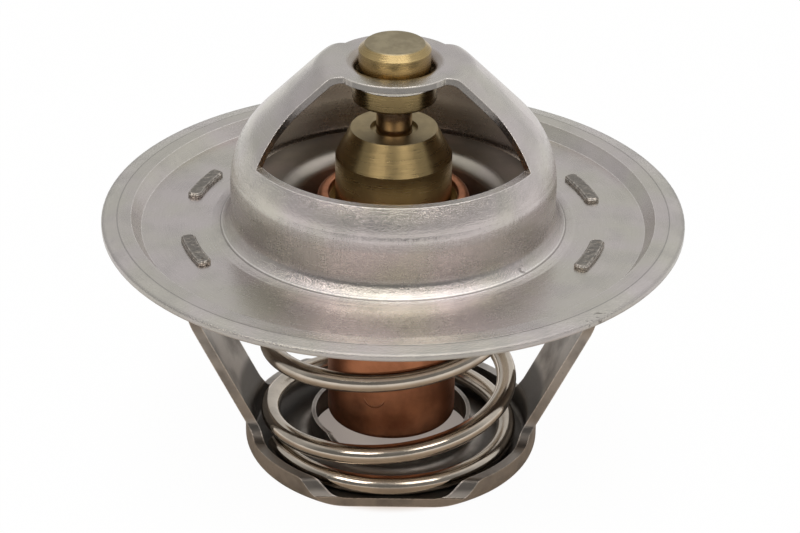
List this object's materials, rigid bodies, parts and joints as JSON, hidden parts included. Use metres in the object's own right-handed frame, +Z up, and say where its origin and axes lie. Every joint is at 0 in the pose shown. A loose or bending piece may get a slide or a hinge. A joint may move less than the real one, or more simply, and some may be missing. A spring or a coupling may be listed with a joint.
{
  "type": "engine thermostat",
  "caption": "Flanged coolant valve with a domed bridge, a wax capsule that pushes off a fixed piston, a valve disc and a return spring held in a pressed frame.",
  "frame": {"origin": "centre of the flat underside of the spring frame's base, which the part stands on", "axes": "+Z runs up the piston's axis towards the bridge; X runs through the two legs of the frame; the dome's windows face along Y"},
  "size_m": [0.054, 0.054, 0.0417],
  "materials": {
    "flange_sheet": "satin drawn stainless sheet with fine ring marks",
    "frame_sheet": "darker satin pressed steel sheet",
    "spring_wire": "smooth drawn spring wire",
    "disc_sheet": "satin drawn stainless sheet",
    "copper": "dull drawn copper with brown tarnish",
    "brass": "turned brass with fine tool rings",
    "cap_brass": "turned brass with fine tool rings",
    "rubber": "matt black",
    "wax": "dull wax",
    "piston_steel": "ground steel rod"
  },
  "bodies": {
    "housing": {"flange_bridge": "flange_sheet", "lower_frame": "frame_sheet", "main_spring": "spring_wire", "piston": "piston_steel", "piston_cap": "cap_brass"},
    "capsule": {"capsule_cup": "copper", "guide_body": "brass", "rubber_sleeve": "rubber", "wax_charge": "wax", "valve_disc": "disc_sheet"}
  },
  "joints": [
    {"name": "valve_travel", "type": "slide", "parent": "housing", "child": "capsule", "axis": [0, 0, -1], "range_m": [0, 0.008], "stiffness_N_per_m": 3500, "springref_m": -0.0002, "deforming": ["main_spring"]}
  ]
}
